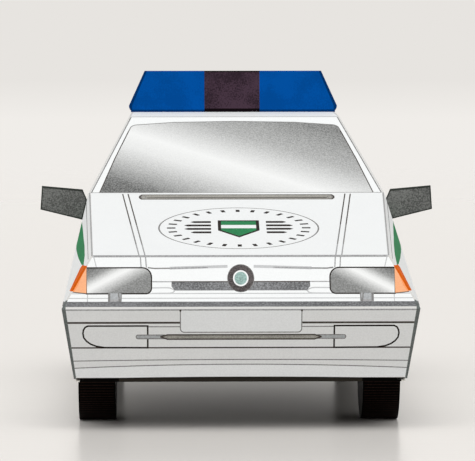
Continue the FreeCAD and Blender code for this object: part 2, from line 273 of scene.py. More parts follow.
# Display level and grain of each ink, and for some how strong its clouds are
TONERS = {
    "white": ((248, 250, 250), 0.015),
    "fascia": ((235, 236, 236), 0.03),
    "plate": ((242, 244, 245), 0.03),
    "cut": ((218, 217, 214), 0.03),
    "pale_line": ((200, 201, 202), 0.05),
    "soft_line": ((166, 166, 167), 0.2),
    "mid_line": ((132, 131, 130), 0.25),
    "dark_line": ((74, 68, 64), 0.25),
    "black_line": ((36, 29, 25), 0.25),
    # painted shade where the bumper turns into the sides, on the bumper's ends and on the side panels' cut edges
    "edge": ((105, 110, 108), 0.2),
    "slot": ((129, 130, 132), 0.45),
    "ledge": ((119, 120, 122), 0.38),
    "cover": ((176, 179, 181), 0.12),
    "trim": ((161, 159, 152), 0.2),
    "badge_ring": ((88, 83, 83), 0.45),
    "badge": ((150, 178, 172), 0.3),
    "indicator": ((255, 182, 136), 0.05),
    # painted shade: the next three darken the turn lamp's orange towards its fold and on the cut edge beside it; the
    # second is also the printed amber of the rear lamp
    "indicator_soft": ((253, 160, 104), 0.05),
    "indicator_shade": ((243, 128, 58), 0.1),
    "indicator_edge": ((213, 95, 16), 0.1),
    "indicator_side": ((231, 103, 5), 0.1),
    "green": ((38, 130, 80), 0.2),
    "blue": ((0, 76, 154), 0.1, 6.0),
    "blue_shade": ((0, 50, 104), 0.15),
    "beacon_middle": ((59, 44, 55), 0.4, 4.0),
    "beacon_shade": ((14, 8, 12), 0.3),
    "mirror": ((108, 109, 107), 0.42),
    "mirror_edge": ((56, 60, 56), 0.35),
    "glass": ((170, 174, 176), 0.1),
    "red": ((186, 36, 32), 0.15),
    "black": ((4, 3, 2), 0.4),
    "tread_line": ((36, 24, 20), 0.4),
    "tyre_ring": ((52, 50, 49), 0.4),
}

# The finish of bare card, and of every ink by its name
MATERIALS = {"plain_card": plain_card(), "floor": floor_toner()}
for ink, look in TONERS.items():
    MATERIALS[ink] = toner(ink + "_print", *look)
for ink, levels, grain, measure in (
        ("screen", SCREEN_LEVELS, 0.22, lambda x, y, z: z + x * SCREEN_SLANT),
        ("lamp", LAMP_LEVELS, 0.13, lambda x, y, z: z + abs(x) * LAMP_SLANT),
        ("side_glass", SIDE_LEVELS, 0.2, lambda x, y, z: (y - NOSE_LINE) * SIDE_SLANT + z),
        ("rear_glass", REAR_LEVELS, 0.2, lambda x, y, z: z - x * SCREEN_SLANT)):
    MATERIALS[ink] = shaded_toner(ink + "_print", levels, measure, grain)


def new_object(name, data):
    """Adds an object to the scene."""
    made = bpy.data.objects.new(name, data)
    bpy.context.scene.collection.objects.link(made)
    return made


# Drawing of the prints, in the plane of a view

FRONT = (0, 2)              # across and up
TOP = (0, 1)                # across and back
SIDE = (1, 2)               # back and up
MITRE_LIMIT = 0.35          # least cosine of half the turn that a mitre follows
LIFT_LIMIT = 0.5            # the same for a print's height over a fold
SEED_FACING = 0.7           # how squarely the first face of a card's side looks its way
WELD = 1e-7                 # corners nearer than this are one, in metres
MERGE = 1e-5                # points of a drawing nearer than this are one, in millimetres


def box(x0, y0, x1, y1):
    return [(x0, y0), (x1, y0), (x1, y1), (x0, y1)]


def arc(x, y, radius, start, end, steps=14, flat=1.0):
    """Points on an arc, from one angle in degrees to another; flat squeezes it upright."""
    points = []
    for i in range(steps + 1):
        angle = math.radians(start + (end - start) * i / steps)
        points.append((x + radius * math.cos(angle), y + radius * flat * math.sin(angle)))
    return points


def disc(x, y, radius, steps=32, flat=1.0):
    return arc(x, y, radius, 0, 360 - 360 / steps, steps - 1, flat)


def rounded(corners, steps=5):
    """Outline with rounded corners, each given as across, up and radius."""
    outline = []
    for i, (x, y, radius) in enumerate(corners):
        here = Vector((x, y))
        if not radius:
            outline.append((x, y))
            continue
        before = (Vector(corners[i - 1][:2]) - here).normalized()
        after = (Vector(corners[(i + 1) % len(corners)][:2]) - here).normalized()
        half = before.angle(after) / 2
        centre = here + (before + after).normalized() * (radius / math.sin(half))
        start = here + before * (radius / math.tan(half)) - centre
        end = here + after * (radius / math.tan(half)) - centre
        turn = start.angle_signed(end)
        for k in range(steps + 1):
            spoke = start.copy()
            spoke.rotate(Matrix.Rotation(-turn * k / steps, 2))
            outline.append(tuple(centre + spoke))
    return outline


def bow(half, end, middle, steps=20):
    """Shallow curve across the car, from its height at the ends to its height at the middle."""
    return [(half * t, end + (middle - end) * (1 - t * t)) for t in (2 * i / steps - 1 for i in range(steps + 1))]


class Print:
    """What is printed on one panel: shapes in the order in which they are inked."""

    def __init__(self, ground):
        self.ground = ground
        self.shapes = []

    def fill(self, ink, outline, both=True):
        """A filled outline, with its mirror image across the car unless told otherwise."""
        self.shapes.append((ink, outline))
        if both:
            self.shapes.append((ink, [(-x, y) for x, y in outline]))

    def line(self, ink, points, width, closed=False, both=True):
        """A line of one width with mitred corners."""
        if closed:
            points = points + [points[0]]
        spots = [Vector(point) for point in points]
        count = len(spots)
        rails = []
        for i, spot in enumerate(spots):
            ahead = spots[i + 1] - spot if i + 1 < count else None
            behind = spot - spots[i - 1] if i else None
            if closed and i in (0, count - 1):
                ahead = spots[1] - spots[0]
                behind = spots[-1] - spots[-2]
            runs = [run.normalized() for run in (behind, ahead) if run is not None]
            mean = sum(runs, Vector((0, 0))).normalized()
            across = Vector((-mean.y, mean.x))
            reach = width / 2 / max(across.dot(Vector((-runs[0].y, runs[0].x))), MITRE_LIMIT)
            rails.append((tuple(spot + across * reach), tuple(spot - across * reach)))
        for (left, right), (next_left, next_right) in zip(rails, rails[1:]):
            self.fill(ink, [left, right, next_right, next_left], both)

    def level(self, ink, at, width, start=-FAR, end=FAR):
        """A level line, without a mirror image."""
        self.line(ink, [(start, at), (end, at)], width, both=False)

    def stripe(self, ink, low, high, start=-FAR, end=FAR):
        """A filled level stripe, without a mirror image."""
        self.fill(ink, box(start, low, end, high), False)

    def outlined(self, fill_ink, line_ink, outline, width, both=True):
        """A filled outline with a line round it."""
        self.fill(fill_ink, outline, both)
        self.line(line_ink, outline, width, True, both)


def facing(node, towards, most_turn, where):
    """The places of a card's corners in millimetres, and the faces of its side that looks one way, as
    [(corners, normal)]. They are reached from the largest such face over folds of less than a turn in
    degrees."""
    mesh = bmesh.new()
    mesh.from_mesh(node.data)
    bmesh.ops.remove_doubles(mesh, verts=mesh.verts, dist=WELD)
    mesh.normal_update()
    mesh.verts.index_update()
    mesh.faces.index_update()
    towards = Vector(towards)
    faces = [face for face in mesh.faces if where is None or where(face.calc_center_median() / MM, face.normal)]
    seed = max((face for face in faces if face.normal.dot(towards) > SEED_FACING),
               key=lambda face: face.calc_area())
    allowed = set(faces)
    found = {seed}
    queue = [seed]
    while queue:
        face = queue.pop()
        for edge in face.edges:
            for other in edge.link_faces:
                near = other in allowed and other not in found
                if near and face.normal.angle(other.normal, math.pi) < math.radians(most_turn):
                    found.add(other)
                    queue.append(other)
    result = [([v.index for v in face.verts], face.normal.copy())
              for face in sorted(found, key=lambda face: face.index)]
    places = [v.co / MM for v in mesh.verts]
    mesh.free()
    return places, result


def holds(outline, x, y):
    """Whether a closed outline holds a point."""
    inside = False
    for (x0, y0), (x1, y1) in zip(outline, outline[1:] + outline[:1]):
        if (y0 > y) != (y1 > y) and x < x0 + (y - y0) * (x1 - x0) / (y1 - y0):
            inside = not inside
    return inside


class Stack:
    """Outlines laid over each other, asked which of them lies on top at a point."""

    def __init__(self, outlines):
        self.layers = []
        for outline in outlines:
            across, up = zip(*outline)
            self.layers.append((min(across), max(across), min(up), max(up), outline))

    def top(self, x, y):
        """The number of the last outline that holds the point, or None."""
        for i in range(len(self.layers) - 1, -1, -1):
            x0, x1, y0, y1, outline = self.layers[i]
            if x0 <= x <= x1 and y0 <= y <= y1 and holds(outline, x, y):
                return i
        return None


def inked(places, faces, view, art):
    """Parts the faces along every printed outline. Returns points with their normals, and triangles
    with their normals and inks."""
    u, v = view
    w = 3 - u - v
    shift = Vector((0, NOSE_LINE, 0))

    def flatten(place):
        return place[u] - shift[u], place[v] - shift[v]

    bases = [[flatten(places[i]) for i in corners] for corners, _ in faces]
    used = sorted({i for corners, _ in faces for i in corners})
    index = {place: i for i, place in enumerate(used)}
    points = [Vector(flatten(places[i])) for i in used]
    edges = {tuple(sorted((index[a], index[b]))) for corners, _ in faces
             for a, b in zip(corners, corners[1:] + corners[:1])}
    for _, outline in art.shapes:
        start = len(points)
        count = len(outline)
        points.extend(Vector(point) for point in outline)
        edges.update((start + i, start + (i + 1) % count) for i in range(count))
    flat, _, cut, _, _, _ = delaunay_2d_cdt(points, sorted(edges), [], 0, MERGE, False)
    ground = Stack(bases)
    ink_stack = Stack([outline for _, outline in art.shapes])
    triangles = []
    grounds = {}
    for corners in cut:
        x = sum(flat[i][0] for i in corners) / 3
        y = sum(flat[i][1] for i in corners) / 3
        base = ground.top(x, y)
        if base is None:
            continue
        shape = ink_stack.top(x, y)
        triangles.append((list(corners), base, art.ground if shape is None else art.shapes[shape][0]))
        for corner in corners:
            grounds.setdefault(corner, set()).add(base)
    lifted = {}
    for corner, held_by in grounds.items():
        place_on, normal = places[faces[min(held_by)][0][0]], faces[min(held_by)][1]
        spot = Vector((0, 0, 0))
        spot[u] = flat[corner][0] + shift[u]
        spot[v] = flat[corner][1] + shift[v]
        spot[w] = place_on[w] - (normal[u] * (spot[u] - place_on[u]) + normal[v] * (spot[v] - place_on[v])) / normal[w]
        mean = sum((faces[base][1] for base in held_by), Vector((0, 0, 0))).normalized()
        lifted[corner] = (spot, mean / max(mean.dot(normal), LIFT_LIMIT))
    return lifted, [(corners, faces[base][1], ink) for corners, base, ink in triangles]


def print_on(name, node, towards, view, art, body, most_turn=50.0, where=None):
    """Lays a print on one side of a card, as a thin closed sheet with its inks as materials."""
    places, faces = facing(NODES[node], towards, most_turn, where)
    lifted, triangles = inked(places, faces, view, art)
    order = {corner: i for i, corner in enumerate(lifted)}
    count = len(order)
    vertices = [(spot + normal * INK_RISE) * MM for spot, normal in lifted.values()]
    vertices += [spot * MM for spot, normal in lifted.values()]
    inks = []
    polygons = []
    colours = []
    edges = {}
    for corners, normal, ink in triangles:
        if ink not in inks:
            inks.append(ink)
        a, b, c = (order[corner] for corner in corners)
        if (vertices[b] - vertices[a]).cross(vertices[c] - vertices[a]).dot(normal) < 0:
            b, c = c, b
        polygons += [(a, b, c), (c + count, b + count, a + count)]
        colours += [inks.index(ink)] * 2
        for edge in ((a, b), (b, c), (c, a)):
            edges[edge] = inks.index(ink)
    for (a, b), ink in edges.items():
        if (b, a) not in edges:
            polygons.append((b, a, a + count, b + count))
            colours.append(ink)
    mesh = bpy.data.meshes.new(name)
    mesh.from_pydata(vertices, [], polygons)
    for ink in inks:
        mesh.materials.append(MATERIALS[ink])
    mesh.polygons.foreach_set("material_index", colours)
    piece = new_object(name, mesh)
    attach(piece, body)
    return piece


# Front of the car

LINE = 0.26                 # usual width of a printed line
THIN_LINE = 0.18
FOLD_LINE = 22.6            # height of the painted shade line under the bumper's fold
UPPER_LINE = 20.2           # heights of the dark lines round the bumpers
LOWER_LINE = 15.5
LEDGE_PRINT = 23.12         # where the ledge's grey begins
BOW_HALF = 33.5
BOWS = ((12.95, 13.25), (11.5, 12.35))   # heights of the bowed lines at their ends and middle
BUMPER_HALF = 31.9          # where the bumper's print meets its dark ends


def bumper_ground():
    """Bumper with its ledge, the fold's shade and the two bows, as at the front and the rear."""
    art = Print("fascia")
    art.fill("plate", bow(BOW_HALF, *BOWS[1]) + [(BOW_HALF, SKIRT - 2), (-BOW_HALF, SKIRT - 2)], False)
    art.stripe("cut", RIDGE, LEDGE_PRINT)
    art.stripe("ledge", LEDGE_PRINT, FAR)
    # painted shade under the fold
    art.level("soft_line", FOLD_LINE, 0.28)
    for end, middle in BOWS:
        art.line("mid_line", bow(BOW_HALF, end, middle), THIN_LINE, both=False)
    art.level("dark_line", LOWER_LINE, LINE)
    art.stripe("dark_line", 0, SKIRT + 0.22)
    return art


def bumper_ends(art):
    """Painted shade: dark bands where the bumper turns into the sides."""
    art.fill("edge", [(BUMPER_HALF, RIDGE), (34, RIDGE), (32, SKIRT - 1), (30.0, SKIRT - 1)])
    art.fill("edge", box(BUMPER_HALF, RIDGE - 0.1, FAR, FAR))


def front_bumper_print():
    art = bumper_ground()
    plate_half, plate_foot = 11.05, 18.4
    lamp_inner, lamp_top = 17.0, 19.6
    art.line("dark_line", [(plate_half, UPPER_LINE), (BUMPER_HALF, UPPER_LINE)], 0.36)
    art.line("mid_line", [(plate_half, 19.45), (lamp_inner, 19.45)], THIN_LINE)
    lamp = [(lamp_inner, LOWER_LINE), (lamp_inner, lamp_top), (27.9, lamp_top), (28.4, 19.35), (28.7, 18.8),
            (28.8, 18.2), (28.65, 17.4), (28.15, 16.75), (27.4, 16.2), (26.4, 15.8), (24.9, 15.55)]
    art.line("black_line", lamp, 0.3, True)
    art.outlined("cover", "mid_line",
                 rounded([(14.0, 17.2, 0), (19.1, 17.2, 0.3), (19.1, 17.9, 0.3), (14.0, 17.9, 0)]), THIN_LINE)
    art.fill("trim", [(-14.9, 17.55), (-13.6, 17.05), (13.6, 17.05), (14.9, 17.55), (13.6, 18.0), (-13.6, 18.0)], False)
    for height in (17.1, 17.92):
        art.line("dark_line", [(0, height), (13.4, height), (14.7, 17.55)], LINE)
    plate = rounded([(-plate_half, plate_foot, 0.7), (plate_half, plate_foot, 0.7), (plate_half, FOLD_LINE, 0),
                     (-plate_half, FOLD_LINE, 0)])
    art.outlined("plate", "mid_line", plate, THIN_LINE, False)
    # painted shade under the fold, carried over the plate
    art.level("soft_line", FOLD_LINE, 0.28, -plate_half, plate_half)
    art.fill("dark_line", disc(plate_half, FOLD_LINE - 0.15, 0.2, 10))
    bumper_ends(art)
    return art


INDICATOR_FOOT, INDICATOR_TOP = 25.85, 30.35   # of the turn lamp, where it wraps to the side


def nose_print():
    art = Print("white")
    slot_low, slot_high, slot_half = 25.95, 27.5, 12.65
    art.level("soft_line", NOSE_TOP - 0.12, 0.3)
    art.line("pale_line", [(13.0, 29.9), (6.0, 30.1), (2.4, 30.2)], 0.5)
    art.line("soft_line", [(17.0, 30.0), (15.8, 29.85), (11.0, 29.9), (6.0, 30.0)], 0.24)
    art.line("mid_line", [(17.0, 30.0), (15.8, 29.85), (13.0, 29.88)], 0.2)
    art.line("soft_line", [(16.2, slot_high), (slot_half, slot_high)], THIN_LINE)
    scoop = [(16.2, 26.42), (13.6, 26.45), (12.9, 26.4), (12.35, 26.15), (12.1, 25.9), (12.4, 25.6), (13.0, 25.48),
             (16.2, 25.45)]
    art.line("pale_line", scoop, 0.22)
    art.level("pale_line", 25.42, THIN_LINE)
    art.level("pale_line", 24.6, THIN_LINE)
    art.line("pale_line", [(27.95, LEDGE - 1), (27.95, 25.5)], THIN_LINE)
    art.line("soft_line", [(27.45, NOSE_TOP), (28.45, 30.2)], THIN_LINE)
    art.line("pale_line", [(26.95, NOSE_TOP), (26.4, 30.1)], THIN_LINE)
    for top, foot in ((18.45, 18.2), (17.5, 17.25)):
        art.line("soft_line", [(top, NOSE_TOP + 1), (foot, 30.0)], 0.22)
    slot = [(-slot_half, slot_high), (-slot_half, 26.65), (-12.05, slot_low), (12.05, slot_low), (slot_half, 26.65),
            (slot_half, slot_high)]
    art.fill("slot", slot, False)
    art.level("dark_line", slot_high, THIN_LINE, -slot_half, slot_half)
    lamp = rounded([(28.15, 25.4, 0), (28.3, 29.98, 0), (16.3, 29.98, 1.7), (16.3, 25.4, 1.0)], 7)
    art.outlined("lamp", "black_line", lamp, 0.23)
    art.fill("indicator", [(28.2, INDICATOR_TOP), (28.15, 25.45), (33.0, 25.95), (33.0, INDICATOR_TOP)])
    # painted shade: the orange darkens in two steps towards the fold
    for ink, inward in (("indicator_soft", 0.6), ("indicator_shade", 0.28)):
        art.fill(ink, [(29.6 - inward, 28.6), (30.3 - inward, 26.8), (31.0 - inward, 25.75), (FAR, 25.75),
                       (FAR, 28.6)])
    art.line("dark_line", [(28.1, 25.42), (31.9, INDICATOR_FOOT - 0.02)], 0.14)
    art.fill("cover", box(21.7, LEDGE - 0.5, 24.2, 25.5))
    # painted shade along the foot of the small cover
    art.fill("soft_line", box(22.0, LEDGE - 0.5, 24.0, LEDGE + 0.4))
    for foot, top, width in ((22.05, 22.3, 0.26), (21.95, 21.78, 0.22), (24.0, 24.0, 0.42)):
        art.line("mid_line", [(foot, LEDGE - 0.5), (top, 25.5)], width)
    badge_height = 28.1
    ring = disc(0, badge_height, 2.42)
    art.fill("badge_ring", ring, False)
    art.line("mid_line", ring, 0.12, True, False)
    art.fill("white", disc(0, badge_height, 1.42), False)
    art.fill("badge", disc(0, badge_height, 1.15), False)
    return art


def emblem(art, x, back, half_width, half_run):
    """Plain round design of our own: a ring of short bars round a shield between two stacks of bars."""
    flat = half_run / half_width
    art.line("mid_line", disc(x, back, half_width, 72, flat), 0.3, True, False)
    bars = 28
    for i in range(bars):
        angle = 2 * math.pi * i / bars
        spoke = [(x + reach * math.cos(angle), back + reach * flat * math.sin(angle))
                 for reach in (half_width - 1.5, half_width - 3.1)]
        art.line("black_line", spoke, 0.75, both=False)
    shield_half, shield_top, shield_foot = 3.6, 4.6, 5.6
    shield = [(x - shield_half, back + shield_top), (x - shield_half, back - 1.5), (x, back - shield_foot),
              (x + shield_half, back - 1.5), (x + shield_half, back + shield_top)]
    art.outlined("green", "black_line", shield, 0.6, False)
    art.stripe("white", back - 0.2, back + 1.9, x - shield_half + 0.3, x + shield_half - 0.3)
    for rise, reach in ((-3.4, 8.4), (-1.2, 9.6), (1.0, 9.6), (3.2, 8.4)):
        low, start, end = back + rise, x + 5.2, x + reach
        art.fill("black_line", [(start, low), (end, low), (end + 0.7, low + 0.6), (end, low + 1.2), (start, low + 1.2)])


def bonnet_print():
    art = Print("white")
    front, rear = NOSE_TOP_BACK, COWL_BACK
    art.level("soft_line", front + 0.15, 0.4)
    for rear_x, front_x in ((22.1, 18.5), (21.05, 17.4)):
        spots = [(rear_x + (front_x - rear_x) * t, 46.7 + (front - 1 - 46.7) * t) for t in (0, 0.5, 0.8, 1)]
        for ink, points in zip(("dark_line", "mid_line", "soft_line"), zip(spots, spots[1:])):
            art.line(ink, list(points), 0.24)
    bar_half, bar_front, bar_rear = 18.75, 43.0, 46.1
    art.outlined("trim", "dark_line",
                 [(-bar_half + 0.4, bar_front), (bar_half - 0.4, bar_front), (bar_half, bar_front + 0.9),
                  (bar_half, bar_rear - 0.9), (bar_half - 0.4, bar_rear), (-bar_half + 0.4, bar_rear),
                  (-bar_half, bar_rear - 0.9), (-bar_half, bar_front + 0.9)], 0.36, False)
    art.level("dark_line", 44.0, 0.5, -17.4, 17.4)
    art.line("mid_line", disc(18.05, 44.55, 0.45, 16, 2.4), 0.18, True)
    emblem(art, 0, 24.1, 15.0, 13.1)
    return art


def windscreen_print():
    art = Print("white")
    glass = rounded([(-26.65, 47.2, 0), (26.65, 47.2, 0), (23.8, 58.1, 0), (20.55, 69.0, 1.4), (12.0, 69.95, 0),
                     (0, 70.25, 0), (-12.0, 69.95, 0), (-20.55, 69.0, 1.4), (-23.8, 58.1, 0)])
    art.outlined("screen", "mid_line", glass, 0.2, False)
    art.line("dark_line", [(26.65, 47.2), (23.8, 58.1), (21.1, 67.2)], 0.2)
    art.line("mid_line", [(28.18, COWL_BACK), (20.64, ROOF_FRONT_BACK)], 0.22)
    art.level("mid_line", COWL_BACK, 0.3)
    art.level("pale_line", ROOF_FRONT_BACK, 0.4)
    return art


def roof_print():
    art = Print("white")
    rear = 134.0
    art.level("pale_line", ROOF_FRONT_BACK, 0.8)
    art.line("soft_line", [(19.4, BAR_FRONT + BAR_DEPTH), (19.6, rear)], THIN_LINE)
    art.line("pale_line", [(18.9, BAR_FRONT + BAR_DEPTH), (19.1, rear)], THIN_LINE)
    art.level("pale_line", rear, 0.6)
    return art


EDGE_TURN = 80.0            # largest turn along a cut edge, in degrees
EDGE_SLANT = 0.02           # how far a cut edge may look sideways
EDGE_REACH = 70             # the ends of the car lie beyond this


def cut_edge_prints(side):
    """Upper cut edges of a side panel: dark with painted shade at the bumper, a darker orange of painted shade beside
    the turn lamp, else pale.
    """
    panel = side + "_side_panel"
    nose_top = NOSE_TOP - 0.1

    def lay(name, towards, view, art, where):
        print_on("%s_%s_edge_print" % (side, name), panel, towards, view, art, "car_body", EDGE_TURN,
                 lambda spot, normal: abs(normal.x) < EDGE_SLANT and where(spot))

    for name, facing_y in (("front", -1), ("rear", 1)):
        art = Print("cut")
        # painted shade of the corner beside the bumper
        art.stripe("edge", 0, LEDGE + 0.25)
        if name == "front":
            # darker orange as painted shade on the cut edge beside the turn lamp
            art.stripe("indicator_edge", INDICATOR_FOOT, INDICATOR_TOP)
        lay(name, (0, facing_y, 0), FRONT, art, lambda spot: facing_y * spot.y > EDGE_REACH and spot.z < nose_top)
    art = Print("cut")
    art.line("soft_line", [(27.2, NOSE_TOP_BACK), (28.5, COWL_BACK)], LINE)
    lay("top", (0, 0, 1), TOP, art, lambda spot: spot.y < EDGE_REACH and spot.z > nose_top)


# Back of the car

def rear_window_print():
    art = Print("white")
    roof_rear, foot = 56.9, TAIL_TOP
    glass = rounded([(-25.6, foot + 1.0, 1.2), (25.6, foot + 1.0, 1.2), (20.4, roof_rear - 1.6, 1.4),
                     (-20.4, roof_rear - 1.6, 1.4)])
    art.outlined("rear_glass", "dark_line", glass, 0.24, False)
    art.line("mid_line", [(27.9, foot), (20.62, roof_rear)], 0.27)
    art.line("dark_line", [(-0.6, foot + 0.4), (-1.4, foot + 2.0), (-15.5, foot + 3.4)], 0.4, both=False)
    art.fill("dark_line", disc(-0.6, foot + 0.7, 0.7, 12), False)
    art.level("mid_line", foot, 0.3)
    return art


def tailgate_print():
    art = Print("white")
    art.level("mid_line", TAIL_TOP - 0.1, 0.3)
    gate = [(25.3, TAIL_TOP + 1), (25.0, 37.4), (18.6, 37.2), (18.0, 27.0), (16.5, LEDGE - 1)]
    art.line("dark_line", gate, THIN_LINE)
    low, high = 27.4, 36.8
    inner, outer = 19.4, 30.9
    lamp = rounded([(inner, low, 0.8), (outer, low, 0.6), (outer - 1.9, high, 0.6), (inner, high, 0.8)])
    art.outlined("red", "black_line", lamp, 0.28)
    # the printed amber top of the rear lamp
    art.fill("indicator_shade", [(inner + 0.2, 33.9), (outer - 1.6, 33.9), (outer - 2.1, high - 0.6),
                                 (inner + 0.5, high - 0.2)])
    art.fill("plate", [(inner + 0.2, 30.2), (25.2, 30.2), (25.2, 33.6), (inner + 0.2, 33.6)])
    for height in (30.1, 33.75):
        art.line("black_line", [(inner, height), (outer - 0.7, height)], THIN_LINE)
    art.line("black_line", [(25.2, 30.1), (25.2, 33.7)], THIN_LINE)
    recess = rounded([(-14.5, 27.2, 1.0), (14.5, 27.2, 1.0), (13.6, 34.4, 1.2), (-13.6, 34.4, 1.2)])
    art.outlined("fascia", "mid_line", recess, 0.24, False)
    handle = [(x, y, 0.5) for x, y in box(-7.5, 34.9, 7.5, 36.3)]
    art.outlined("trim", "dark_line", rounded(handle), 0.2, False)
    art.level("pale_line", 25.4, THIN_LINE)
    return art


def rear_bumper_print():
    art = bumper_ground()
    art.level("dark_line", UPPER_LINE, 0.32)
    panel = [(x, y, 0.5) for x, y in box(10.5, 16.4, 26.5, 19.2)]
    art.line("mid_line", rounded(panel), THIN_LINE, True)
    bumper_ends(art)
    return art


# Sides

def arch_lip(art, back):
    """Printed lip round a wheel arch."""
    for out, ink, width in ((0.5, "trim", 1.2), (1.15, "dark_line", 0.22)):
        art.line(ink, arc(back, AXLE_HEIGHT, ARCH_RADIUS + out, -20, 200, 40), width, both=False)


def side_print():
    art = Print("white")
    front, rear = AXLE_BACKS
    tail = 160.6
    top, foot = 39.95, 33.4
    band = [(7.3, INDICATOR_TOP), (12.2, 31.95), (18.1, 33.45), (24.0, 34.75), (30.3, 36.2), (COWL_BACK, top),
            (tail, top), (tail, foot), (COWL_BACK - 8, foot), (28.5, 33.35), (25.3, 33.15), (22.5, 32.45),
            (19.6, 31.9), (15.5, 31.2), (9.3, INDICATOR_TOP)]
    art.fill("green", band, False)
    art.fill("indicator_side", [(0, INDICATOR_FOOT), (3.9, INDICATOR_FOOT), (8.6, 29.9), (8.4, INDICATOR_TOP),
                                (0, INDICATOR_TOP)], False)
    bumpers = ((-1, front - 10), (rear + 10, tail + 1))
    sill_top, trim_foot, trim_top = 12.8, 20.6, 22.9
    for start, end in bumpers:
        art.stripe("fascia", SKIRT - 1, RIDGE, start, end)
    art.stripe("fascia", SKIRT - 1, sill_top, front, rear)
    art.stripe("trim", trim_foot, trim_top, front, rear)
    for height in (trim_foot, trim_top, sill_top):
        art.level("dark_line", height, THIN_LINE, front, rear)
    for start, end in bumpers:
        art.stripe("ledge", 23.25, LEDGE, start, end)
        art.stripe("white", 22.75, 23.25, start, end)
        for height, width in ((UPPER_LINE, 0.32), (LOWER_LINE, LINE), (BOWS[0][0], THIN_LINE), (BOWS[1][0], THIN_LINE)):
            art.level("dark_line", height, width, start, end)
    for back in AXLE_BACKS:
        arch_lip(art, back)
    front_door = [(48.2, 41.9), (50.2, 38.0), (50.8, 24.0), (50.0, sill_top)]
    middle = [(82.9, 56.5), (82.9, 40.0), (83.2, sill_top)]
    rear_door = [(113.0, 55.6), (114.0, 42.0), (114.2, 34.0), (111.0, 26.0), (116.9, trim_foot)]
    for door in (front_door, middle, rear_door):
        art.line("dark_line", door, THIN_LINE, both=False)
    art.line("mid_line", [(7.0, 31.45), (COWL_BACK, 41.6), (150.0, 41.6)], 0.14, both=False)
    for back in (75.5, 106.5):
        handle = [(x, y, 0.5) for x, y in box(back - 3.0, 37.0, back + 3.0, 38.7)]
        art.outlined("trim", "black_line", rounded(handle), 0.2, False)
    glass_foot = 43.5
    windows = [
        [(52.8, glass_foot, 0.6), (81.6, glass_foot, 0.5), (81.6, 55.9, 0.8), (74.0, 55.5, 1.2)],
        [(84.3, glass_foot, 0.5), (112.0, glass_foot, 0.6), (111.2, 56.1, 0.8), (84.3, 56.3, 0.8)],
        [(115.6, glass_foot, 0.6), (139.6, glass_foot, 1.5), (129.6, 54.6, 1.8), (114.8, 55.6, 0.8)],
    ]
    for window in windows:
        art.outlined("side_glass", "dark_line", rounded(window), LINE, False)
    art.level("pale_line", 42.9, 0.24, 51.0, 143.0)
    return art


# Beacon bar and mirrors

BAR_TOP = 66.0


def beacon_prints():
    """Blue ends and a dark middle, with painted shade along the outer folds, the middle's top and the feet."""
    middle_left, middle_right = 5.45, -5.85
    low = ROOF_CREST - 3
    for name, towards in (("beacon_front_print", (0, -1, 0)), ("beacon_rear_print", (0, 1, 0))):
        art = Print("blue")
        art.stripe("beacon_middle", low, BAR_TOP + 1, middle_right, middle_left)
        art.line("blue_shade", [(20.75, low), (20.95, 58.95), (17.8, BAR_TOP + 0.3)], 0.6)
        art.level("beacon_shade", BAR_TOP - 0.1, 0.2, middle_right, middle_left)
        art.stripe("blue_shade", low, 58.08)
        art.stripe("beacon_shade", low, 58.3, middle_right, middle_left)
        print_on(name, "beacon_bar", towards, FRONT, art, "car_body", 30.0)
    art = Print("blue")
    art.stripe("beacon_middle", 0, FAR, middle_right, middle_left)
    print_on("beacon_top_print", "beacon_bar", (0, 0, 1), TOP, art, "car_body", 30.0)


def mirror_front_print():
    """Plain dark front with slightly darker edges."""
    art = Print("mirror")
    outline = [(29.02, 40.95), (29.9, 43.0), (37.78, 43.7), (38.08, 39.1), (29.93, 37.1)]
    art.line("mirror_edge", outline, 0.5, True)
    art.line("mirror_edge", outline[1:3], 0.8)
    return art


def mirror_back_print():
    art = Print("mirror")
    glass = rounded([(31.2, 38.6, 0.5), (36.9, 39.9, 0.5), (36.7, 42.6, 0.5), (31.0, 42.1, 0.5)])
    art.outlined("glass", "black_line", glass, 0.2)
    return art


# Wheels

def wheel_print(back):
    """Tyre wall and a plain trim with round holes."""
    art = Print("black")

    def ring(ink, radius, width):
        art.line(ink, disc(back, AXLE_HEIGHT, radius, 48), width, True, False)

    for radius in (10.6, 9.0):
        ring("tyre_ring", radius, 0.14)
    for ink, radius in (("mid_line", 8.1), ("cover", 7.7)):
        art.fill(ink, disc(back, AXLE_HEIGHT, radius, 48), False)
    ring("mid_line", 6.9, 0.16)
    holes, hole_circle, hole_radius = 10, 5.3, 0.85
    for i in range(holes):
        angle = 2 * math.pi * i / holes
        x, y = back + hole_circle * math.cos(angle), AXLE_HEIGHT + hole_circle * math.sin(angle)
        art.fill("dark_line", disc(x, y, hole_radius, 14), False)
    ring("mid_line", 3.4, 0.16)
    art.fill("fascia", disc(back, AXLE_HEIGHT, 2.3, 28), False)
    ring("dark_line", 2.3, 0.18)
    return art


TREAD_RADIUS = 11.69        # of the middle of the raised bars round a tyre
TREAD_SPANS = ((44, 266), (274, 362))   # in degrees, without the lap and the foot
TREAD_STEP = 3              # degrees from bar to bar
TREAD_MARGIN = 0.25         # of a bar to each side of its tyre


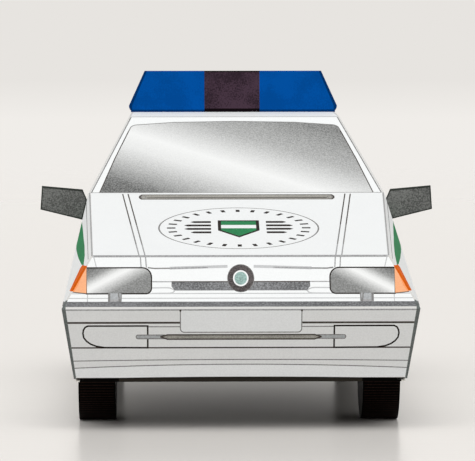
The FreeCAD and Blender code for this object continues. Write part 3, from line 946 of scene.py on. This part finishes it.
def tread_lines_tree():
    """Thin raised bars side by side round a tyre, as a Geometry Nodes tree."""
    tree = bpy.data.node_groups.new("tread_lines", "GeometryNodeTree")
    tree.interface.new_socket("Geometry", in_out="OUTPUT", socket_type="NodeSocketGeometry")
    sizes = {"Radius": "Float", "Bar length": "Float", "Bar run": "Float", "Bar rise": "Float", "Bars": "Int",
             "Start": "Float", "Sweep": "Float", "Centre": "Vector"}
    for name, kind in sizes.items():
        tree.interface.new_socket(name, in_out="INPUT", socket_type="NodeSocket" + kind)
    nodes = Nodes(tree)
    outputs = nodes.add("NodeGroupInput").socket.node.outputs
    given = {name: Value(nodes, outputs[name]) for name in sizes}
    round_tyre = nodes.add("GeometryNodeCurveArc", {"mode": "RADIUS"}, {
        "Resolution": given["Bars"], "Radius": given["Radius"], "Start Angle": given["Start"],
        "Sweep Angle": given["Sweep"]})
    upright = nodes.add("GeometryNodeTransform", None, {
        "Geometry": round_tyre, "Rotation": (math.pi / 2, 0, math.pi / 2)})
    size = nodes.add("ShaderNodeCombineXYZ", None, {0: given["Bar length"], 1: given["Bar run"], 2: given["Bar rise"]})
    bar = nodes.add("GeometryNodeMeshCube", None, {"Size": size})
    outward = nodes.add("FunctionNodeAlignRotationToVector", {"axis": "Z", "pivot_axis": "X"}, {
        "Vector": nodes.add("GeometryNodeInputPosition")})
    bars = nodes.add("GeometryNodeInstanceOnPoints", None, {"Points": upright, "Instance": bar, "Rotation": outward})
    placed = nodes.add("GeometryNodeTransform", None, {"Geometry": bars, "Translation": given["Centre"]})
    real = nodes.add("GeometryNodeRealizeInstances", None, {"Geometry": placed})
    inked_bars = nodes.add("GeometryNodeSetMaterial", None, {"Geometry": real, "Material": MATERIALS["tread_line"]})
    nodes.add("NodeGroupOutput", None, {0: inked_bars})
    return tree


def tread_lines(axle, back, body, tree):
    """The printed lines round both tyres of an axle. They leave out the lap and the foot of a tyre."""
    joined = bmesh.new()
    for side in ("left", "right"):
        low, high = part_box("%s_%s_tread" % (axle, side))
        middle = (low.x + high.x) / 2
        for first, last in TREAD_SPANS:
            values = {"Radius": TREAD_RADIUS * MM, "Bar length": high.x - low.x - 2 * TREAD_MARGIN * MM,
                      "Bar run": 0.22 * MM, "Bar rise": 0.04 * MM, "Bars": (last - first) // TREAD_STEP,
                      "Start": math.radians(first), "Sweep": math.radians(last - first),
                      "Centre": (middle, (back + NOSE_LINE) * MM, AXLE_HEIGHT * MM)}
            carrier = new_object("tread_carrier", bpy.data.meshes.new("tread_carrier"))
            modifier = carrier.modifiers.new("tread", "NODES")
            modifier.node_group = tree
            for item in tree.interface.items_tree:
                if item.in_out == "INPUT":
                    modifier[item.identifier] = values[item.name]
            depsgraph = bpy.context.evaluated_depsgraph_get()
            made = bpy.data.meshes.new_from_object(carrier.evaluated_get(depsgraph))
            joined.from_mesh(made)
            bpy.data.objects.remove(carrier)
            bpy.data.meshes.remove(made)
    mesh = bpy.data.meshes.new(axle + "_tread_lines")
    joined.to_mesh(mesh)
    joined.free()
    mesh.materials.append(MATERIALS["tread_line"])
    piece = new_object(axle + "_tread_lines", mesh)
    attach(piece, body)


# Ends of the names of CAD nodes that aren't bare card
NODE_FINISHES = {"_mirror": "mirror", "beacon_bar": "blue", "floor_panel": "floor",
                 "_tread": "black", "_wheel_back": "black"}


def dress():
    """Gives every CAD node its finish and lays on every print."""
    for name, node in NODES.items():
        finish = next((look for ending, look in NODE_FINISHES.items() if name.endswith(ending)), "plain_card")
        node.data.materials.clear()
        node.data.materials.append(MATERIALS[finish])

    strip = [
        ("front_bumper", (0, -1, 0), FRONT, front_bumper_print(), "grey_printed_card"),
        ("nose_panel", (0, -1, 0), FRONT, nose_print(), "white_card"),
        ("bonnet_panel", (0, 0, 1), TOP, bonnet_print(), "white_card"),
        ("windscreen_panel", (0, 0, 1), TOP, windscreen_print(), "window_printed_card"),
        ("roof_panel", (0, 0, 1), TOP, roof_print(), "white_card"),
        ("rear_window_panel", (0, 1, 1), FRONT, rear_window_print(), "window_printed_card"),
        ("tailgate_panel", (0, 1, 0), FRONT, tailgate_print(), "white_card"),
        ("rear_bumper", (0, 1, 0), FRONT, rear_bumper_print(), "grey_printed_card"),
    ]
    for node, towards, view, art, slot in strip:
        print_on(node + "_print", node, Vector(towards).normalized(), view, art, "car_body")
    for side, hand in (("left", 1), ("right", -1)):
        print_on(side + "_side_print", side + "_side_panel", (hand, 0, 0), SIDE, side_print(), "car_body")
        for face, facing_y, art in (("back", 1, mirror_back_print()), ("front", -1, mirror_front_print())):
            print_on("%s_mirror_%s_print" % (side, face), side + "_mirror", (0, facing_y, 0), FRONT, art, "car_body")
        cut_edge_prints(side)
    beacon_prints()
    tree = tread_lines_tree()
    for axle, back in zip(("front", "rear"), AXLE_BACKS):
        for side, hand in (("left", 1), ("right", -1)):
            stem = "%s_%s_wheel_face" % (axle, side)
            print_on(stem + "_print", stem, (hand, 0, 0), SIDE, wheel_print(back), axle + "_wheels")
        tread_lines(axle, back, axle + "_wheels", tree)


# Table, light and camera

WORLD_LIGHT = 0.42
KEY_LIGHT = 0.6
KEY_ANGLE = 60              # how wide the key lamp looks, in degrees
KEY_DIRECTION = (0.04, 0.62, -0.784)   # the way its light falls
TABLE_REACH = 2.0           # metres
TABLE_FADE = 0.35           # where the table begins to fade
TABLE_STREAKS = (40.0, 400.0, 1.0)   # cells of its unevenness to a metre
TABLE_SEEN = (252, 248, 243)
TABLE_BOUNCED = (216, 213, 208)   # what the table throws back on the car
BACKDROP_HIGH = (231, 228, 224)
BACKDROP_LOW = (240, 237, 233)
BACKDROP_TURN = (-0.002, -0.0125)   # rise of a ray where one changes to the other
CAMERA_EYE = (-12.64, -746.97, 65.67)
CAMERA_YAW, CAMERA_PITCH, CAMERA_ROLL = 0.017969, 0.042953, -0.001085   # radians
CAMERA_LENS = 278.7


def table():
    """Pale glossy table with faint streaks, that fades into the backdrop."""
    finish = Shader(bpy.data.materials.new("table"))
    place = finish.add("ShaderNodeTexCoord", out="Object")
    distance = finish.add("ShaderNodeVectorMath", {"operation": "LENGTH"}, {0: place}, "Value")
    fade = finish.add("ShaderNodeMapRange", {"clamp": True}, {
        "Value": distance, "From Min": TABLE_FADE, "From Max": TABLE_REACH * 0.9, "To Min": 1.0, "To Max": 0.0})
    stretched = finish.add("ShaderNodeVectorMath", {"operation": "MULTIPLY"}, {0: place, 1: TABLE_STREAKS})
    streaks = finish.noise(stretched, 1.0)
    normal = finish.add("ShaderNodeBump", None, {"Strength": 1.0, "Distance": 0.02 * MM, "Height": streaks})
    bounced = finish.add("ShaderNodeLightPath", out="Is Diffuse Ray")
    board = finish.add("ShaderNodeBsdfPrincipled", None, {
        "Base Color": finish.mix(bounced, colour(*TABLE_SEEN), colour(*TABLE_BOUNCED)), "Roughness": 0.25,
        "Specular IOR Level": 0.25, "Normal": normal, "Alpha": fade})
    finish.add("ShaderNodeOutputMaterial", None, {"Surface": board})
    mesh = bpy.data.meshes.new("table")
    shape = bmesh.new()
    bmesh.ops.create_circle(shape, cap_ends=True, segments=96, radius=TABLE_REACH)
    shape.to_mesh(mesh)
    shape.free()
    mesh.materials.append(finish.owner)
    top = new_object("table", mesh)


def background():
    """Soft white light from all round, and a pale backdrop for what the camera and reflections see."""
    room = Shader(bpy.data.worlds.new("soft_room"))
    camera_ray, glossy_ray, clear_ray = (
        room.add("ShaderNodeLightPath", out="Is %s Ray" % kind) for kind in ("Camera", "Glossy", "Transmission"))
    rise = room.parts(room.add("ShaderNodeTexCoord", out="Generated"))[2]
    low = room.add("ShaderNodeMapRange", {"clamp": True}, {
        "Value": rise, "From Min": BACKDROP_TURN[0], "From Max": BACKDROP_TURN[1], "To Min": 0.0, "To Max": 1.0})
    light = room.add("ShaderNodeBackground", None, {"Color": (1.0, 1.0, 1.0, 1.0), "Strength": WORLD_LIGHT})
    backdrop = room.add("ShaderNodeBackground", None, {
        "Color": room.mix(low, colour(*BACKDROP_HIGH), colour(*BACKDROP_LOW)), "Strength": 1.0})
    mixed = room.add("ShaderNodeMixShader", None, {0: camera_ray | glossy_ray | clear_ray, 1: light, 2: backdrop})
    room.add("ShaderNodeOutputWorld", None, {"Surface": mixed})
    bpy.context.scene.world = room.owner


def key_lamp():
    """Wide soft lamp from above and in front, which no reflection shows."""
    lamp = bpy.data.lights.new("key_lamp", "SUN")
    lamp.energy = KEY_LIGHT * math.pi
    lamp.angle = math.radians(KEY_ANGLE)
    holder = new_object("key_lamp", lamp)
    holder.visible_glossy = False
    holder.rotation_euler = Vector(KEY_DIRECTION).to_track_quat("-Z", "Y").to_euler()


def camera():
    """Long lens from straight ahead, a little to the car's right and above its roof."""
    eye = Vector(CAMERA_EYE) * MM
    yaw, pitch, roll = CAMERA_YAW, CAMERA_PITCH, CAMERA_ROLL
    ahead = Vector((math.sin(yaw) * math.cos(pitch), math.cos(yaw) * math.cos(pitch), -math.sin(pitch)))
    level = Vector((math.cos(yaw), -math.sin(yaw), 0))
    upright = level.cross(ahead)
    right = level * math.cos(roll) + upright * math.sin(roll)
    up = upright * math.cos(roll) - level * math.sin(roll)
    data = bpy.data.cameras.new("camera")
    data.lens = CAMERA_LENS
    data.sensor_width = 36.0
    data.clip_start = 0.01
    holder = new_object("camera", data)
    holder.matrix_world = Matrix((
        (right.x, up.x, -ahead.x, eye.x), (right.y, up.y, -ahead.y, eye.y), (right.z, up.z, -ahead.z, eye.z),
        (0, 0, 0, 1)))
    bpy.context.scene.camera = holder


camera()
dress()
table()
background()
key_lamp()
bpy.context.scene.view_settings.view_transform = "Standard"
